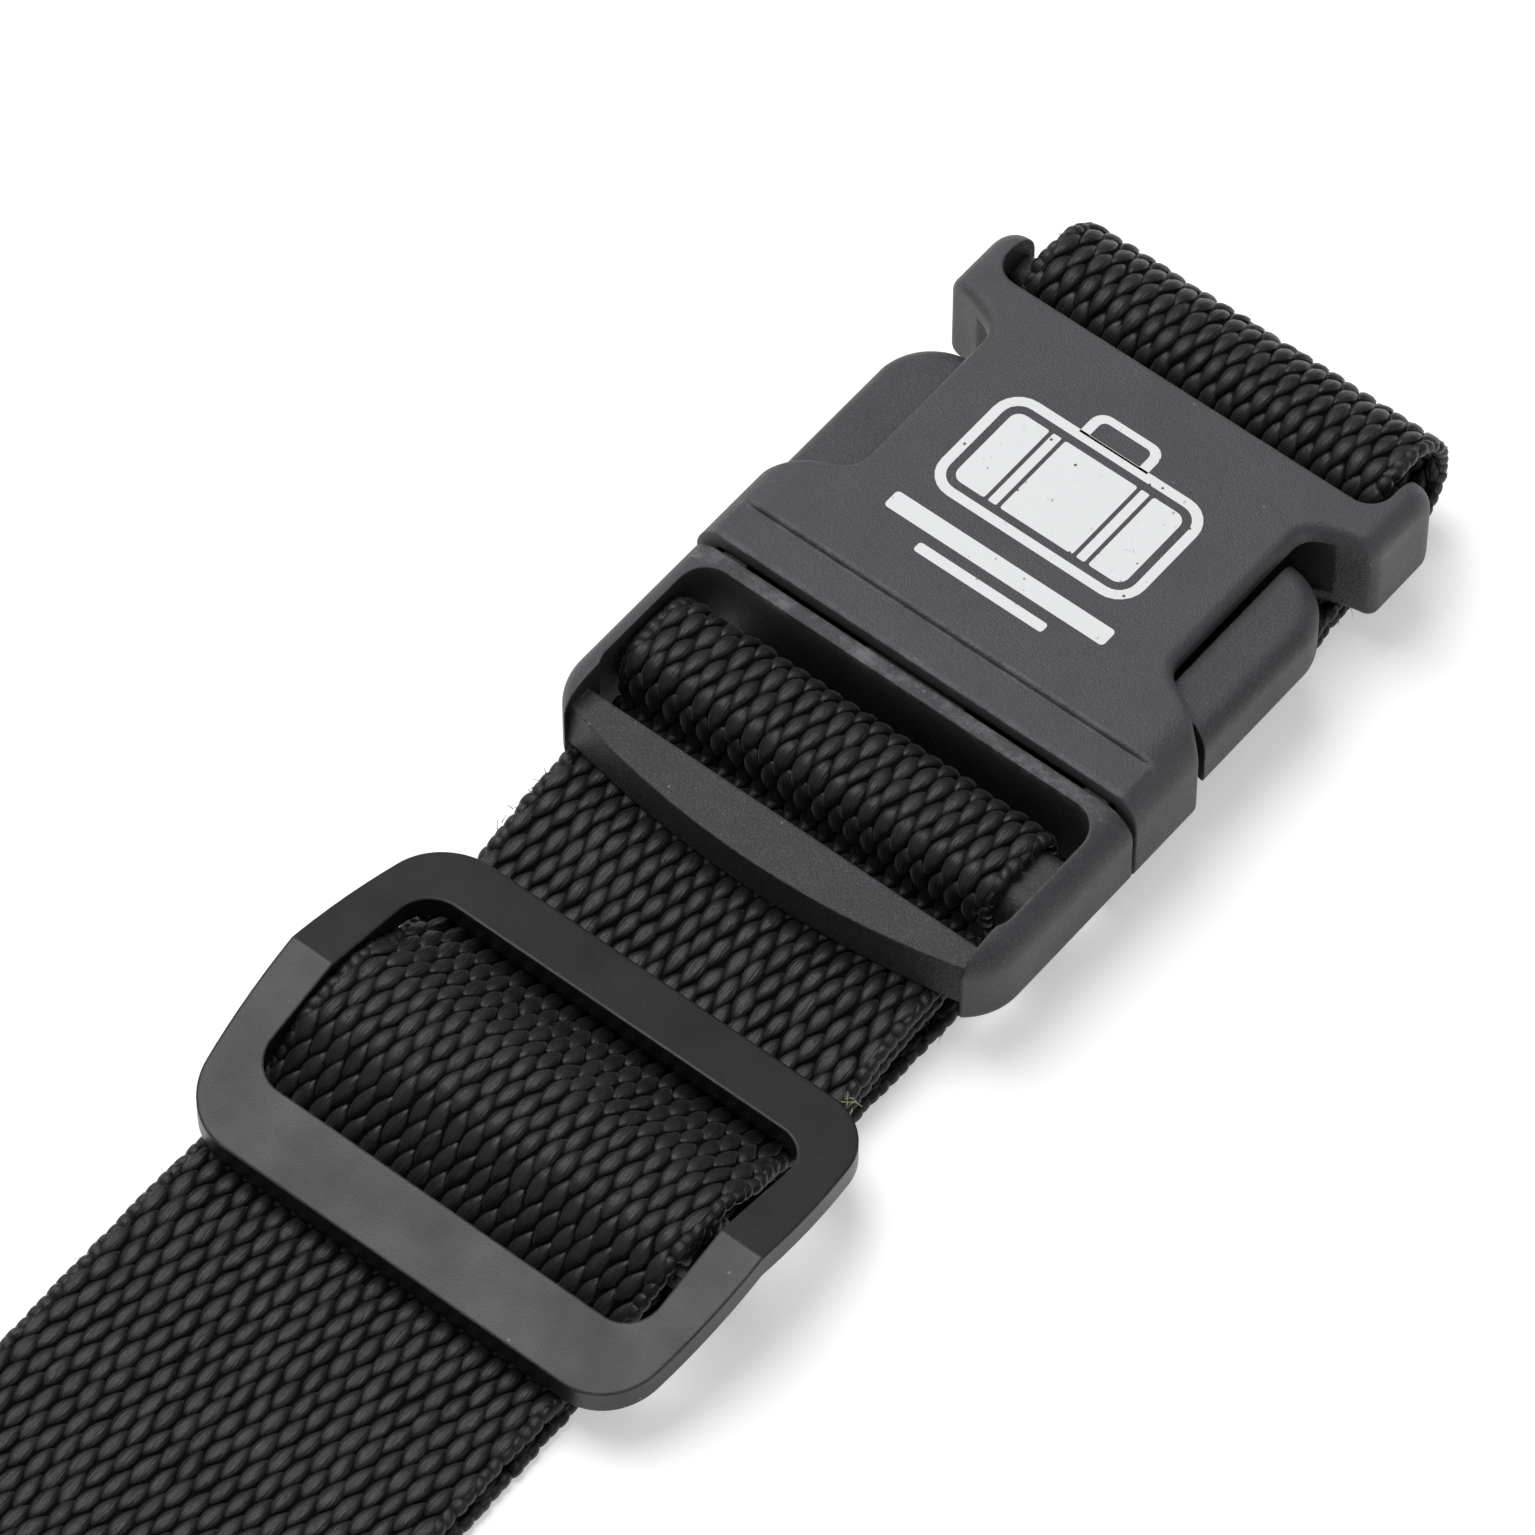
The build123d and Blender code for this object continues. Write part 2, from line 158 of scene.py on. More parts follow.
class Look:
    """A material with its Principled shader, and short ways to add nodes to it.

    The colour and roughness given here are what shows where nothing is linked to the shader's own sockets.
    """

    def __init__(self, name, colour, roughness):
        self.material = bpy.data.materials.new(name)
        self.material.use_nodes = True
        self.tree = self.material.node_tree
        self.shader = self.tree.nodes["Principled BSDF"]
        self.shader.inputs["Base Color"].default_value = (*colour, 1)
        self.shader.inputs["Roughness"].default_value = roughness

    def node(self, kind, settings=None, **inputs):
        node = self.tree.nodes.new("ShaderNode" + kind)
        for key, value in (settings or {}).items():
            setattr(node, key, value)
        for key, value in inputs.items():
            by_number = key[0] == "i" and key[1:].isdigit()
            socket = node.inputs[int(key[1:]) if by_number else key]
            if isinstance(value, bpy.types.NodeSocket):
                self.tree.links.new(value, socket)
            else:
                socket.default_value = value
        return node

    def link(self, output, name):
        self.tree.links.new(output, self.shader.inputs[name])

    def place(self):
        return self.node("TexCoord").outputs["Object"]

    def math(self, operation, a, b):
        return self.node("Math", {"operation": operation}, i0=a, i1=b).outputs[0]

    def times(self, a, b):
        return self.math("MULTIPLY", a, b)

    def ramp(self, value, low, high, to_low=0.0, to_high=1.0):
        node = self.node("MapRange", None, i0=value, i1=low, i2=high, i3=to_low, i4=to_high)
        return node.outputs[0]

    def noise(self, vector, scale, detail=2.0, roughness=0.5):
        settings = {"Vector": vector, "Scale": scale, "Detail": detail, "Roughness": roughness}
        return self.node("TexNoise", None, **settings).outputs[0]

    def specks(self, vector, scale, full, none, rarity):
        """Dots that fade from full to none with distance, in the cells whose random value is above rarity."""
        cells = self.node("TexVoronoi", None, Vector=vector, Scale=scale)
        dot = self.ramp(cells.outputs["Distance"], full, none, 1.0, 0.0)
        chosen = self.node("SeparateColor", None, Color=cells.outputs["Color"]).outputs[0]
        return self.times(dot, self.math("GREATER_THAN", chosen, rarity))

    def bump(self, height, strength, distance, **normal):
        node = self.node("Bump", None, Strength=strength, Distance=distance, Height=height, **normal)
        self.link(node.outputs[0], "Normal")

    def mix(self, factor, a, b):
        node = self.node("Mix", {"data_type": "RGBA"}, i0=factor)
        for index, value in ((6, a), (7, b)):
            if isinstance(value, bpy.types.NodeSocket):
                self.tree.links.new(value, node.inputs[index])
            else:
                node.inputs[index].default_value = (*value, 1)
        return node.outputs[2]


def band_mask(look, value, low, high, soft):
    """1 where the value is between low and high, fading over soft."""
    up = look.ramp(value, low - soft, low)
    down = look.ramp(value, high, high + soft, 1.0, 0.0)
    return look.times(up, down)


def moulded_plastic(name, colour, roughness, grain, worn, painted_top_light, scuffed):
    """Matt moulded plastic: fine grain, faint mottling, dust, paler worn edges, and painted light that makes
    the top surfaces paler.

    Grain, worn and the painted light on the top surfaces are strengths from 0 to 1. Scuffed adds rubbed marks
    at the buckle's joint line.
    """
    look = Look(name, colour, roughness)
    place = look.place()
    tint = np.array(colour)
    mottle = look.noise(place, 420.0, 5.0, 0.65)
    base = look.mix(look.ramp(mottle, 0.35, 0.65), tuple(tint * 0.84), tuple(tint * 1.14))
    fine = look.noise(place, 4200.0, 2.0, 0.7)
    # painted light: the higher the surface, the paler it is made, standing in for the light on the top
    # surfaces
    axes = look.node("SeparateXYZ", None, Vector=place)
    along, up = axes.outputs[1], axes.outputs[2]
    painted_top_light_mask = look.ramp(up, 12.5 * MM, 16.5 * MM, 0.0, painted_top_light)
    base = look.mix(painted_top_light_mask, base, tuple(tint * 2.4))
    base = look.mix(look.ramp(fine, 0.52, 0.68, 0.0, grain), base, tuple(tint * 3.4))
    # dust and tiny chips
    speck = look.specks(place, 430.0, 0.05, 0.09, 0.86)
    base = look.mix(look.times(speck, 0.4), base, (0.3, 0.3, 0.31))
    # edges rubbed pale
    bevel = look.node("Bevel", {"samples": 6}, Radius=0.5 * MM).outputs[0]
    true_normal = look.node("NewGeometry").outputs["Normal"]
    product = look.node("VectorMath", {"operation": "DOT_PRODUCT"}, i0=bevel, i1=true_normal)
    edge = look.ramp(product.outputs["Value"], 0.97, 0.80)
    rub = look.ramp(look.noise(place, 330.0, 6.0, 0.75), 0.42, 0.66)
    base = look.mix(look.times(look.times(edge, rub), worn), base, (0.26, 0.26, 0.27))
    if scuffed:
        rail = band_mask(look, along, -1.7 * MM, 0.2 * MM, 0.3 * MM)
        rail = look.times(rail, look.ramp(up, 14.4 * MM, 15.3 * MM))
        lip = band_mask(look, along, 0.8 * MM, 1.5 * MM, 0.25 * MM)
        step = band_mask(look, along, 5.75 * MM, 6.5 * MM, 0.2 * MM)
        high = look.ramp(up, 16.2 * MM, 16.8 * MM)
        lines = look.times(look.math("MAXIMUM", lip, step), high)
        patches = look.ramp(look.noise(place, 260.0, 6.0, 0.75), 0.47, 0.66)
        strong = look.times(look.times(rail, patches), 0.5)
        faint = look.times(look.times(lines, rub), 0.22)
        base = look.mix(look.math("MAXIMUM", strong, faint), base, (0.30, 0.30, 0.31))
    look.link(base, "Base Color")
    uneven = look.noise(place, 150.0, 3.0)
    look.link(look.ramp(uneven, 0.3, 0.7, roughness - 0.05, roughness + 0.06), "Roughness")
    look.bump(fine, grain, 0.16 * MM, Normal=bevel)
    return look.material


def woven_yarn(name, colour):
    """Bundles of fine filaments with a soft sheen, each yarn a little lighter or darker than the next."""
    look = Look(name, colour, 0.42)
    look.shader.inputs["Specular IOR Level"].default_value = 0.42
    weave = look.node("Attribute", {"attribute_name": "weave"}).outputs["Vector"]
    tone = look.node("Attribute", {"attribute_name": "tone"}).outputs["Fac"]
    # the noise is drawn out along the yarn
    stretched = look.node("VectorMath", {"operation": "MULTIPLY"}, i0=weave, i1=(3.2, 0.45, 1.0))
    strands = look.noise(stretched.outputs[0], 1.0, 3.0, 0.6)
    tint = np.array(colour)
    spread = 0.35
    base = look.mix(look.ramp(tone, -2.0, 2.0), tuple(tint * (1 - spread)), tuple(tint * (1 + spread)))
    base = look.mix(look.ramp(strands, 0.52, 0.68, 0.0, 0.5), base, tuple(tint * 3.0))
    look.link(base, "Base Color")
    look.shader.inputs["Sheen Weight"].default_value = 0.12
    look.shader.inputs["Sheen Roughness"].default_value = 0.4
    look.bump(strands, 0.9, 0.2 * MM)
    return look.material


def webbing_core_painted_shade():
    """The ground seen between the yarns; made darker and duller than the yarns, as painted shade in the deep
    gaps between them.
    """
    # painted shade: a near-black colour and little gloss, so that the gaps between the yarns come out black
    look = Look("webbing_core_painted_shade", (0.004, 0.004, 0.004), 0.9)
    look.shader.inputs["Specular IOR Level"].default_value = 0.06
    fuzz = look.noise(look.place(), 2500.0, 3.0)
    look.link(look.mix(fuzz, (0.002, 0.002, 0.002), (0.006, 0.006, 0.006)), "Base Color")
    look.bump(fuzz, 0.6, 0.1 * MM)
    return look.material


def sewing_thread():
    look = Look("thread", (0.02, 0.02, 0.021), 0.38)
    waves = {"Vector": look.place(), "Scale": 900.0, "Distortion": 1.5}
    twist = look.node("TexWave", {"bands_direction": "DIAGONAL"}, **waves).outputs[1]
    look.link(look.mix(twist, (0.012, 0.012, 0.012), (0.028, 0.028, 0.03)), "Base Color")
    look.bump(twist, 0.6, 0.06 * MM)
    return look.material


def plain_lint():
    """A wisp of pale lint caught on the webbing."""
    look = Look("lint", (0.42, 0.45, 0.26), 0.7)
    patchy = look.noise(look.place(), 900.0)
    look.link(look.mix(patchy, (0.30, 0.33, 0.17), (0.55, 0.57, 0.38)), "Base Color")
    return look.material


def pad_print():
    """White ink with pinholes and thin places where the plastic's grain shows."""
    ink = (0.86, 0.87, 0.88)
    look = Look("pad_print", ink, 0.5)
    place = look.place()
    hole = look.specks(place, 760.0, 0.10, 0.16, 0.72)
    thin = look.ramp(look.noise(place, 900.0, 6.0, 0.7), 0.63, 0.72)
    gap = look.math("MAXIMUM", hole, look.times(thin, 0.8))
    look.link(look.mix(gap, ink, (0.06, 0.06, 0.062)), "Base Color")
    look.bump(look.noise(place, 3600.0, 2.0, 0.6), 0.25, 0.05 * MM)
    return look.material


# ---------------------------------------------------------------- webbing


def rounded_route(points, radii, step=0.25):
    """Points along straight runs joined by arcs, in the side view (y, z)."""
    points = [np.array(p, float) for p in points]
    out = [points[0]]
    for before, corner, after, radius in zip(points, points[1:], points[2:], radii):
        a = (before - corner) / np.linalg.norm(before - corner)
        b = (after - corner) / np.linalg.norm(after - corner)
        half = math.acos(np.clip(a @ b, -1, 1)) / 2
        reach = radius / math.tan(half)
        centre = corner + (a + b) / np.linalg.norm(a + b) * radius / math.sin(half)
        first, last = corner + a * reach - centre, corner + b * reach - centre
        turn = (math.pi - 2 * half) * np.sign(first[0] * last[1] - first[1] * last[0])
        count = max(3, int(abs(turn) * radius / step))
        for t in np.linspace(0, turn, count + 1):
            c, s = math.cos(t), math.sin(t)
            out.append(centre + np.array([c * first[0] - s * first[1], s * first[0] + c * first[1]]))
    out.append(points[-1])
    return np.array(out)


def roll_point(radius, angle):
    return np.stack([ROLL_Y - radius * np.sin(angle), ROLL_RADIUS - radius * np.cos(angle)], -1)


def roll_route(layer, fold):
    """One layer of the roll, wound inwards from where it touches down. A fold joins it to the other layer."""
    count = int(ROLL_TURNS * TURN_POINTS)
    turns = np.linspace(0, ROLL_TURNS, count)
    radius = ROLL_RADIUS - layer_z(layer) - 2 * LAYER * turns
    route = roll_point(radius, 2 * math.pi * turns)
    if not fold:
        return route
    end = 2 * math.pi * ROLL_TURNS
    centre = roll_point(radius[-1] - LAYER / 2, end)
    outward = (route[-1] - centre) / (LAYER / 2)
    onward = roll_point(1.0, end + math.pi / 2) - roll_point(0.0, 0.0)
    t = np.linspace(0, math.pi, 12)[1:, None]
    return np.vstack([route, centre + LAYER / 2 * (np.cos(t) * outward + np.sin(t) * onward)])


def run_length(points):
    return np.linalg.norm(np.diff(points, axis=0), axis=1).sum()


def evened(points, step=0.4, soften=5):
    """The route at even steps, with its changes of bend eased."""
    gap = np.linalg.norm(np.diff(points, axis=0), axis=1)
    points = points[np.r_[True, gap > 1e-6]]
    s = np.r_[0, np.cumsum(np.linalg.norm(np.diff(points, axis=0), axis=1))]
    even = np.linspace(0, s[-1], int(s[-1] / step) + 1)
    route = np.stack([np.interp(even, s, points[:, k]) for k in (0, 1)], 1)
    for _ in range(soften):
        route[1:-1] = (route[:-2] + 2 * route[1:-1] + route[2:]) / 4
    return route


class Band:
    """Turns places across, along and above the webbing into places in the object's frame.

    Drift lists (y, x): how far to one side the webbing lies at places along it.
    """

    def __init__(self, route, drift):
        self.route = route
        self.drift = np.array(drift)
        self.s = np.r_[0, np.cumsum(np.linalg.norm(np.diff(route, axis=0), axis=1))]
        self.tangent = np.gradient(route, axis=0)
        self.length = self.s[-1]

    def place(self, across, along, above):
        y, z = (np.interp(along, self.s, self.route[:, k]) for k in (0, 1))
        ty, tz = (np.interp(along, self.s, self.tangent[:, k]) for k in (0, 1))
        size = np.hypot(ty, tz)
        shift = np.interp(y, self.drift[:, 0], self.drift[:, 1])
        across = across * np.interp(y, DRAWN_IN_Y, DRAWN_IN)
        return np.stack([across + shift, y - above * tz / size, z + above * ty / size], -1) * MM


def mesh_piece(name, places, faces, material):
    mesh = bpy.data.meshes.new(name)
    mesh.from_pydata(places.reshape(-1, 3).tolist(), [], faces)
    mesh.polygons.foreach_set("use_smooth", [True] * len(mesh.polygons))
    mesh.materials.append(material)
    mesh.update()
    piece = bpy.data.objects.new(name, mesh)
    bpy.context.scene.collection.objects.link(piece)
    return piece


def backing(name, band, material):
    """The closed band between the two faces of yarns."""
    columns, step = 9, 1.2
    half = WEB_WIDTH / 2 - CORE_EDGE
    across = np.linspace(-half, half, columns)
    ring_x = np.r_[across, across[::-1]]
    ring_n = np.repeat((CORE_HALF, -CORE_HALF), columns)
    along = np.linspace(0, band.length, int(band.length / step) + 1)
    rings, count = len(along), len(ring_x)
    s, x = np.meshgrid(along, ring_x, indexing="ij")
    # thicker in the roll, so that no light shows between its turns
    thicker = np.interp(np.interp(s, band.s, band.route[:, 0]), (-150.0, -140.0), (1.5, 1.0))
    places = band.place(x, s, ring_n * thicker)
    faces = []
    for i in range(rings - 1):
        for k in range(count):
            a, b = i * count + k, i * count + (k + 1) % count
            faces.append((a, b, b + count, a + count))
    faces.append(tuple(range(count))[::-1])
    faces.append(tuple((rings - 1) * count + k for k in range(count)))
    return mesh_piece(name, places, faces, material)


def pod_faces(rings, around):
    """Faces of a closed pod: rings of points, then the point at each end."""
    faces = []
    for i in range(rings - 1):
        for k in range(around):
            a, b = i * around + k, i * around + (k + 1) % around
            faces.append((a, b, b + around, a + around))
    first, last, top = rings * around, rings * around + 1, (rings - 1) * around
    for k in range(around):
        faces.append((first, (k + 1) % around, k))
        faces.append((last, top + k, top + (k + 1) % around))
    return faces


def pods(name, band, x, s, n, sides, tones, material):
    """Many closed pods in one mesh.

    x, s and n are places across, along and above the webbing, a row for each pod: its rings, then its ends.
    """
    count, each = x.shape
    rings = (each - 2) // AROUND
    places = band.place(x, np.clip(s, 0, band.length), n)
    base = pod_faces(rings, AROUND)
    turned = [face[::-1] for face in base]
    faces = []
    for i in range(count):
        faces += [tuple(i * each + q for q in face) for face in (base if sides[i] > 0 else turned)]
    piece = mesh_piece(name, places, faces, material)
    weave = np.stack([x, s, np.repeat(10 * tones[:, None], each, 1)], -1).astype(np.float32)
    piece.data.attributes.new("weave", "FLOAT_VECTOR", "POINT").data.foreach_set("vector", weave.ravel())
    tone = np.repeat(tones, each).astype(np.float32)
    piece.data.attributes.new("tone", "FLOAT", "POINT").data.foreach_set("value", tone)
    return piece


def yarn_spots(spans):
    """Places of the yarn floats: (across, along, side), for spans given as (side, from, to)."""
    spots = []
    count = int((WEB_WIDTH - 2.0) / YARN_PITCH)
    for side, low, high in spans:
        for row in range(int(low / ROW_PITCH) + 1, int(high / ROW_PITCH)):
            odd = row % 2
            for k in range(count + 1 - odd):
                spots.append(((k + odd / 2 - count / 2) * YARN_PITCH, row * ROW_PITCH, side))
    return np.array(spots)


def yarns(name, band, spots, material):
    """A pointed, domed float of yarn at each spot."""
    rings, count = 9, len(spots)
    v = np.linspace(-1, 1, rings + 2)[1:-1, None]
    u = np.linspace(0, 2 * math.pi, AROUND, endpoint=False)[None, :]
    jitter = rng.normal(0, 1, (7, count, 1, 1))
    side = spots[:, 2, None, None]
    long = YARN_HALF * (1 + 0.035 * jitter[0])
    wide = YARN_PITCH / 2 * (1.0 + 0.04 * jitter[1])
    high = YARN_HIGH * (1 + 0.08 * jitter[2])
    middle_x = spots[:, 0, None, None] + 0.05 * jitter[3]
    yaw = 0.06 * jitter[4] + 0.04
    middle_s = spots[:, 1, None, None] + 0.07 * jitter[5]
    tilt = 0.08 + 0.08 * jitter[6]
    # widest a little past the middle, highest a little before it
    lean = 0.1 * (1 - v**2)
    plump = 1 - np.abs(v - lean) ** 1.75
    domed = (1 - np.abs(v + lean) ** 2.6) ** 0.7
    # a full dome above, and a shallow belly below that sinks into the core
    lift = np.where(np.sin(u) > 0, np.abs(np.sin(u)) ** 0.65, -0.3 * np.abs(np.sin(u)))
    across = wide * plump * np.cos(u)
    x = middle_x + across + yaw * long * v * side
    s = middle_s + long * v - yaw * across * side
    n = YARN_BASE + high * domed * lift + tilt * across
    ends = np.array([-1.0, 1.0])
    end_x = middle_x[:, 0] + (yaw * long * side)[:, 0] * ends
    end_s = middle_s[:, 0] + long[:, 0] * ends
    x = np.concatenate([x.reshape(count, -1), end_x], 1)
    s = np.concatenate([s.reshape(count, -1), end_s], 1)
    n = np.concatenate([n.reshape(count, -1), np.full((count, 2), YARN_BASE - 0.05)], 1)
    tones = rng.normal(0, 1, count)
    return pods(name, band, x, s, n * spots[:, 2:3], spots[:, 2], tones, material)


def selvedge(name, band, material):
    """The weft turning round both edges: one pod for each pick on each side."""
    rings = 5
    pitch = ROW_PITCH / 2
    number = int(band.length / pitch)
    v = np.linspace(-1, 1, rings + 2)[1:-1, None]
    u = np.linspace(0, 2 * math.pi, AROUND, endpoint=False)[None, :]
    edge = WEB_WIDTH / 2 - 0.95
    spots = np.array([(e * edge, (k + 0.5) * pitch) for e in (-1, 1) for k in range(number)])
    count = len(spots)
    jitter = rng.normal(0, 1, (4, count, 1, 1))
    plump = np.sqrt(1 - v**2)
    turn = 0.25 * jitter[3]
    across = (0.92 + 0.07 * jitter[0]) * plump * np.cos(u)
    x = spots[:, 0, None, None] + across
    s = spots[:, 1, None, None] + 0.1 * jitter[1] + 1.2 * v + 0.25 * np.sin(u) + turn * across
    n = (0.76 + 0.05 * jitter[2]) * plump * np.sin(u)
    ends = np.array([-1.2, 1.2])
    x = np.concatenate([x.reshape(count, -1), np.repeat(spots[:, :1], 2, 1)], 1)
    s = np.concatenate([s.reshape(count, -1), spots[:, 1:2] + 0.1 * jitter[1, :, 0] + ends], 1)
    n = np.concatenate([n.reshape(count, -1), np.zeros((count, 2))], 1)
    return pods(name, band, x, s, n, np.ones(count), rng.normal(0, 1, count), material)


def fibres(name, band, roots, reach, radius, material):
    """Loose fibres: thin bent closed hairs that stand off the webbing. Roots are (across, along, above)."""
    rings, around = 6, 4
    count = len(roots)
    aim = rng.normal(0, 1, (count, 3)) * (1.0, 1.0, 0.5) + (0.0, 0.0, 0.6)
    aim[:, 0] += 0.8 * np.sign(roots[:, 0])
    aim /= np.linalg.norm(aim, axis=1)[:, None]
    bend = rng.normal(0, 0.6, (count, 3))
    size = reach * rng.uniform(0.5, 1.2, count)
    side = np.cross(aim, (0.3, 0.9, 0.2))
    side /= np.linalg.norm(side, axis=1)[:, None]
    other = np.cross(aim, side)
    t = np.linspace(0, 1, rings)
    angles = np.linspace(0, 2 * math.pi, around, endpoint=False)
    points = np.zeros((count, rings * around + 2, 3))
    for r, along in enumerate(t):
        middle = roots + size[:, None] * (along * aim + along**2 * 0.5 * bend)
        thick = radius * (1 - 0.6 * along)
        for k, angle in enumerate(angles):
            points[:, r * around + k] = middle + thick * (math.cos(angle) * side + math.sin(angle) * other)
    points[:, -2] = roots
    points[:, -1] = roots + size[:, None] * (1.02 * aim + 0.51 * bend)
    points[..., 1] = np.clip(points[..., 1], 0, band.length)
    places = band.place(points[..., 0], points[..., 1], points[..., 2])
    places[..., 2] = np.maximum(places[..., 2], 0.02 * MM)
    base = pod_faces(rings, around)
    each = rings * around + 2
    faces = [tuple(i * each + q for q in face) for i in range(count) for face in base]
    return mesh_piece(name, places, faces, material)


def edge_roots(band, low_y, high_y, number, height):
    """Random places along both edges, on the part of the band in a stretch of Y and above a height."""
    y, z = band.route[:, 0], band.route[:, 1]
    fitting = np.nonzero((y > low_y) & (y < high_y) & (z > height))[0]
    along = band.s[rng.choice(fitting, number)]
    across = rng.choice([-1.0, 1.0], number) * (WEB_WIDTH / 2 - rng.uniform(0.1, 1.4, number))
    return np.stack([across, along, rng.uniform(0.0, 0.75, number)], 1)


def socket_band():
    """Sewn tail, slot, loop over the socket's bar, the run along the table, then the roll."""
    lead = rounded_route(
        [
            (21.0, layer_z(1)),
            (47.9, layer_z(1)),
            (47.9, 16.1),
            (61.2, 16.1),
            (61.2, layer_z(0)),
            (ROLL_Y, layer_z(0)),
        ],
        [3.0, 4.5, 7.3, 7.3],
    )
    # yarns where they can be seen: the roll's outer turn has them on its outside
    spans = [(1, 0, run_length(lead) + 2 * math.pi * ROLL_RADIUS), (-1, 0, run_length(lead))]
    drift = ((-110.0, 0.0), (-85.0, -0.7), (-40.0, -0.7), (0.0, 0.0), (40.0, 0.0), (48.0, 0.3))
    return Band(evened(np.vstack([lead, roll_route(0, True)])), drift), spans


def main_band():
    """From under the adjuster's far bar, over its centre bar, along the table, then the roll."""
    lead = rounded_route(
        [
            (SLEEVE_Y, layer_z(2)),
            (-48.2, layer_z(2)),
            (-59.3, 10.85),
            (-67.9, 10.85),
            (-78.2, layer_z(1)),
            (ROLL_Y, layer_z(1)),
        ],
        [7, 5, 5, 8],
    )
    spans = [(1, 0, run_length(lead)), (-1, 0, run_length(lead))]
    drift = (
        (-150.0, -0.4),
        (-90.0, -1.4),
        (-77.5, -1.2),
        (-73.5, -0.6),
        (-70.0, 0.1),
        (-55.0, 0.1),
        (-51.0, -0.7),
    )
    return Band(evened(np.vstack([lead, roll_route(1, False)])), drift), spans


def plug_band():
    """From under the adjuster's far bar, round the plug's bar and back, sewn round the adjuster's bar."""
    route = rounded_route(
        [
            (SLEEVE_Y, layer_z(2)),
            (-41.5, layer_z(2)),
            (-30.5, 6.55),
            (-15.6, 6.55),
            (-15.6, 13.9),
            (-4.9, 13.9),
            (-4.9, 4.55),
            (-30.5, 4.55),
            (-41.5, layer_z(1)),
            (-66.9, layer_z(1)),
            (-66.9, 9.1),
            (-60.1, 9.1),
            (-60.1, layer_z(2)),
            (-51.6, layer_z(2)),
        ],
        [12, 12, 1.3, 3.0, 3.0, 1.3, 12, 12, 2.0, 2.0, 2.0, 2.0],
    )
    drift = ((-58.0, 0.1), (-48.0, -0.5), (-33.0, -0.9), (-18.0, -1.4))
    band = Band(evened(route, soften=2), drift)
    return band, [(1, 0, band.length), (-1, 0, band.length)]


def make_webbing(name, made, looks, nodes, fuzz):
    """One webbing with its yarns, edges and loose fibres, in place of the CAD parts that it hides."""
    band, spans = made
    core = backing(name, band, looks["core"])
    floats = yarns(name + "_yarns", band, yarn_spots(spans), looks["webbing"])
    edges = selvedge(name + "_edges", band, looks["edge"])
    roots = np.vstack([edge_roots(band, *place) for place in fuzz])
    hairs = fibres(name + "_fuzz", band, roots, 1.0, 0.05, looks["edge"])
    extra = [floats, edges, hairs]
    if name == "plug_webbing":
        # a tuft of lint at the right edge, on the top layer that comes out of the adjuster
        spot = np.interp(-40.0, band.route[:60, 0], band.s[:60])
        tuft = np.array([(23.9 + 0.25 * k, spot + 0.4 * (k % 3), 0.8) for k in range(7)])
        extra.append(fibres("lint", band, tuft, 1.5, 0.075, plain_lint()))
    for piece in [core] + extra:
        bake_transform(piece)
    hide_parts(*nodes)
    return band.length


# ---------------------------------------------------------------- print on the socket's panel


def rounded_outline(x, y, wide, tall, radii, steps=6):
    """Outline of a rectangle; radii run from the near right corner, anticlockwise."""
    corners = [(1, -1, -90), (1, 1, 0), (-1, 1, 90), (-1, -1, 180)]
    points = []
    for (sx, sy, begin), radius in zip(corners, radii):
        cx, cy = x + sx * (wide / 2 - radius), y + sy * (tall / 2 - radius)
        for t in np.radians(np.linspace(begin, begin + 90, steps + 1 if radius > 0 else 1)):
            points.append((cx + radius * math.cos(t), cy + radius * math.sin(t)))
    return points


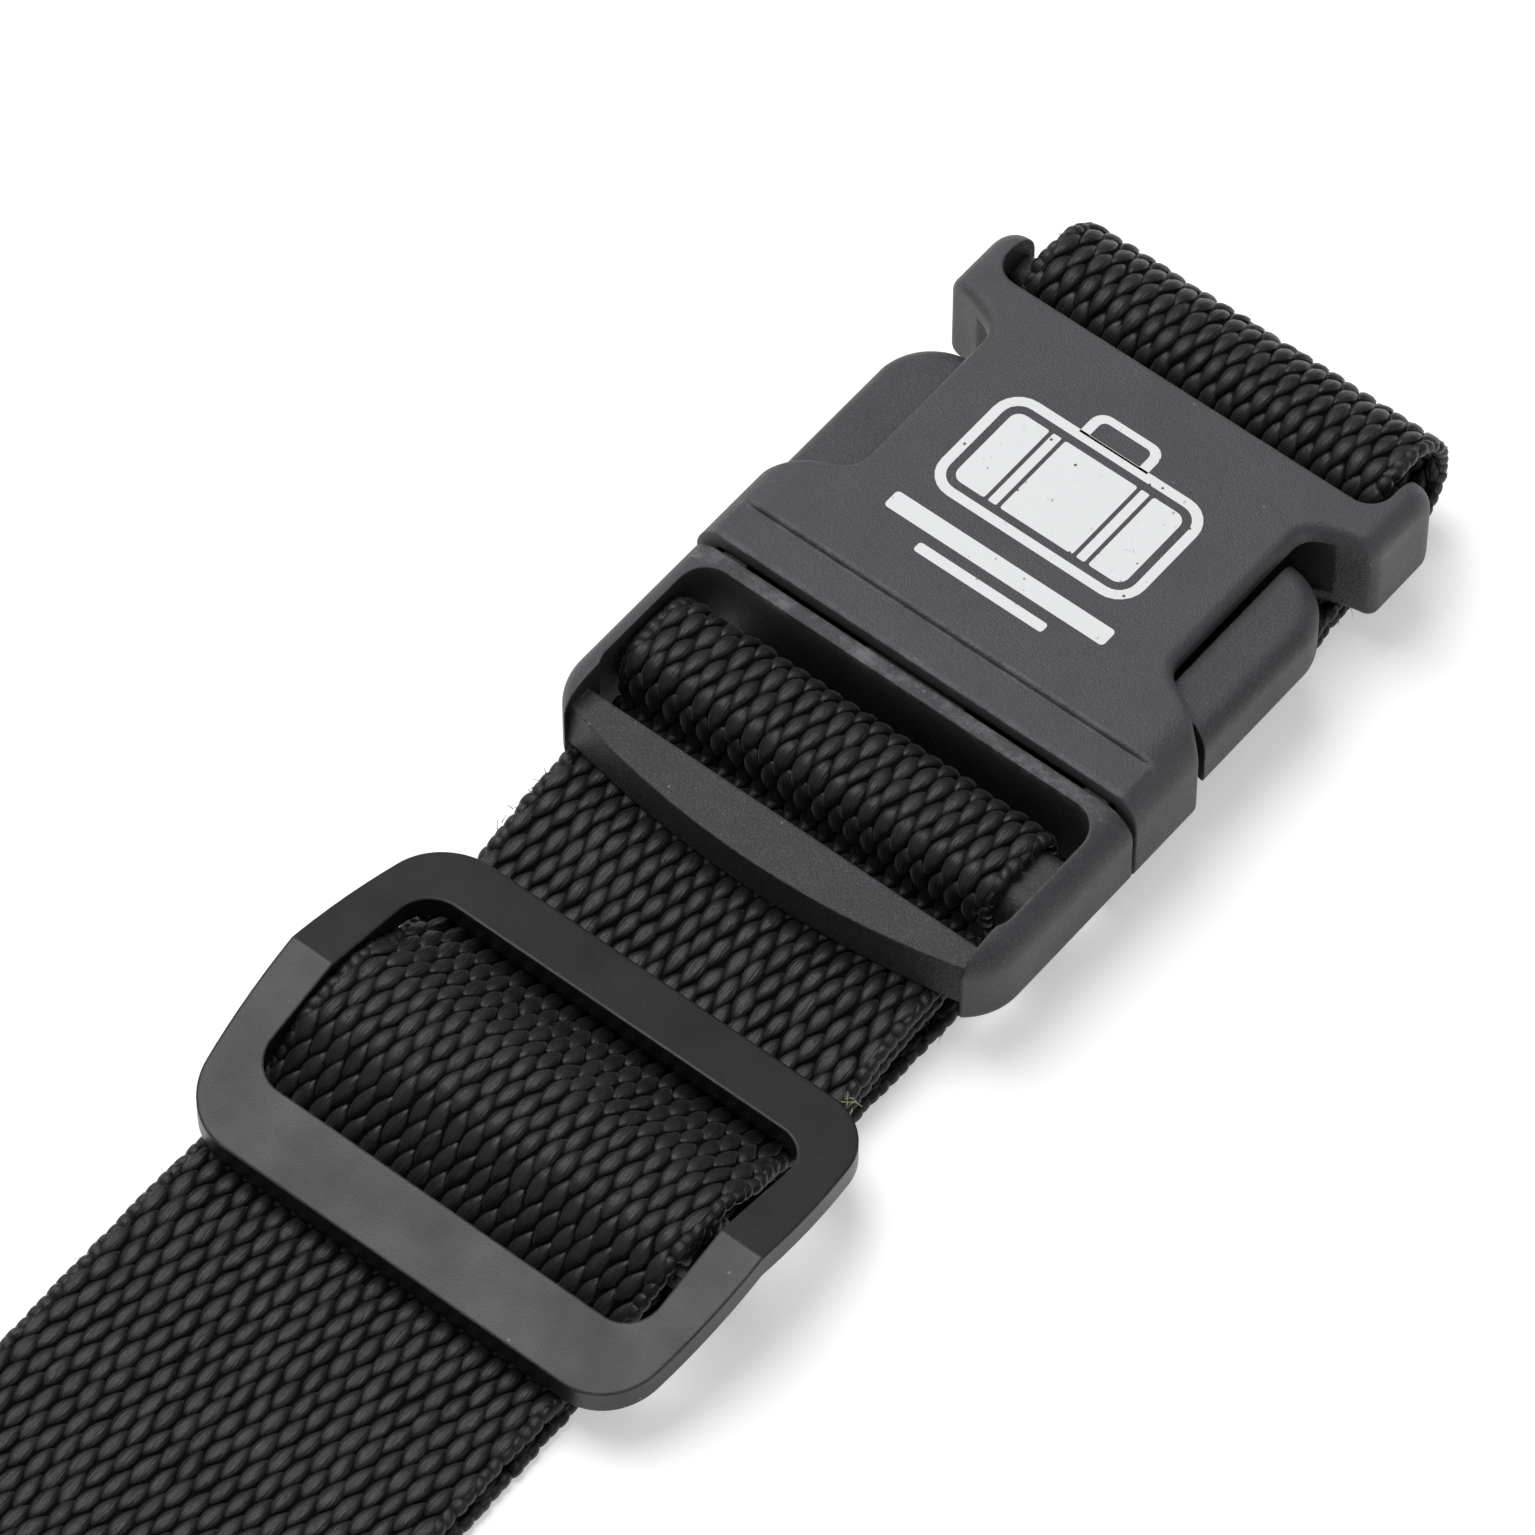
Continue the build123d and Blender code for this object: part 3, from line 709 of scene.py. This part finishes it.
def make_print(material):
    """A plain suitcase and two plain stripes, as a thin layer of ink."""
    middle_x, middle_y = -0.6, 27.4
    case_wide, case_tall, ring = 27.0, 15.6, 1.2
    inner = case_tall - 2 * ring - 2.0
    places, faces = [], []
    low, high = PANEL_Z - 0.02, PANEL_Z + 0.03

    def slab(outer, hole=None):
        base = len(places)
        n = len(outer)
        for loop in [outer] if hole is None else [outer, hole]:
            for level in (low, high):
                places.extend((px, py, level) for px, py in loop)
        for k in range(n):
            j = (k + 1) % n
            faces.append((base + k, base + j, base + n + j, base + n + k))
            if hole is not None:
                faces.append((base + 2 * n + j, base + 2 * n + k, base + 3 * n + k, base + 3 * n + j))
                faces.append((base + n + k, base + n + j, base + 3 * n + j, base + 3 * n + k))
                faces.append((base + j, base + k, base + 2 * n + k, base + 2 * n + j))
        if hole is None:
            faces.append(tuple(base + n + k for k in range(n)))
            faces.append(tuple(base + k for k in range(n))[::-1])

    # the case's ring, its three panels and the two straps between them
    slab(
        rounded_outline(middle_x, middle_y, case_wide, case_tall, [3.4] * 4),
        rounded_outline(middle_x, middle_y, case_wide - 2 * ring, case_tall - 2 * ring, [2.2] * 4),
    )
    slab(rounded_outline(middle_x - 9.1, middle_y, 4.4, inner, [0.3, 0.3, 1.3, 1.3]))
    slab(rounded_outline(middle_x, middle_y, 9.6, inner, [0.3] * 4))
    slab(rounded_outline(middle_x + 9.1, middle_y, 4.4, inner, [1.3, 1.3, 0.3, 0.3]))
    for side in (-1, 1):
        slab(rounded_outline(middle_x + side * 5.85, middle_y, 1.1, inner, [0.2] * 4))
    # the handle, then the two stripes below the case
    slab(
        rounded_outline(middle_x, middle_y + 9.3, 9.0, 3.6, [0.0, 1.7, 1.7, 0.0]),
        rounded_outline(middle_x, middle_y + 8.95, 6.6, 2.4, [0.0, 0.8, 0.8, 0.0]),
    )
    slab(rounded_outline(middle_x, 15.7, 29.0, 2.4, [0.5] * 4))
    slab(rounded_outline(middle_x, 12.5, 17.0, 1.3, [0.4] * 4))
    piece = mesh_piece("panel_print", np.array(places) * MM, faces, material)
    piece.data.polygons.foreach_set("use_smooth", [False] * len(piece.data.polygons))
    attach(piece, "female_half")


# ---------------------------------------------------------------- the whole strap


def main():
    make_camera()
    make_studio()
    looks = {
        # the buckle's top surfaces get the full painted top light, the adjuster's none
        "buckle_plastic": moulded_plastic(
            "buckle_plastic", (0.024, 0.024, 0.027), 0.47, grain=0.8, worn=0.4, painted_top_light=1.0, scuffed=True
        ),
        "adjuster_plastic": moulded_plastic(
            "adjuster_plastic", (0.007, 0.007, 0.0073), 0.38, grain=0.12, worn=0.2, painted_top_light=0, scuffed=False
        ),
        "thread": sewing_thread(),
        "webbing": woven_yarn("webbing_yarn", (0.0095, 0.0095, 0.009)),
        "edge": woven_yarn("webbing_edge", (0.007, 0.007, 0.0066)),
        "core": webbing_core_painted_shade(),
    }
    for part in frame["record"]["subparts"]:
        mesh = frame["nodes"][part["node"]].data
        mesh.materials.clear()
        mesh.materials.append(looks[part["material_slot"]])
    total = make_webbing(
        "socket_webbing",
        socket_band(),
        looks,
        ("female_loop_webbing", "under_run_far", "under_run_near"),
        [(-60.0, 62.0, 60, 0.0), (46.0, 63.0, 24, 5.0)],
    )
    total += make_webbing(
        "main_webbing",
        main_band(),
        looks,
        ("main_run", "hump_webbing", "webbing_roll"),
        [(-140.0, -46.0, 70, 2.0)],
    )
    total += make_webbing(
        "plug_webbing",
        plug_band(),
        looks,
        ("male_loop_webbing", "slider_sewn_webbing"),
        [(-45.0, -24.0, 90, 2.0), (-18.0, -2.0, 40, 6.0)],
    )
    print("webbing in all, mm:", round(total))
    make_print(pad_print())


main()
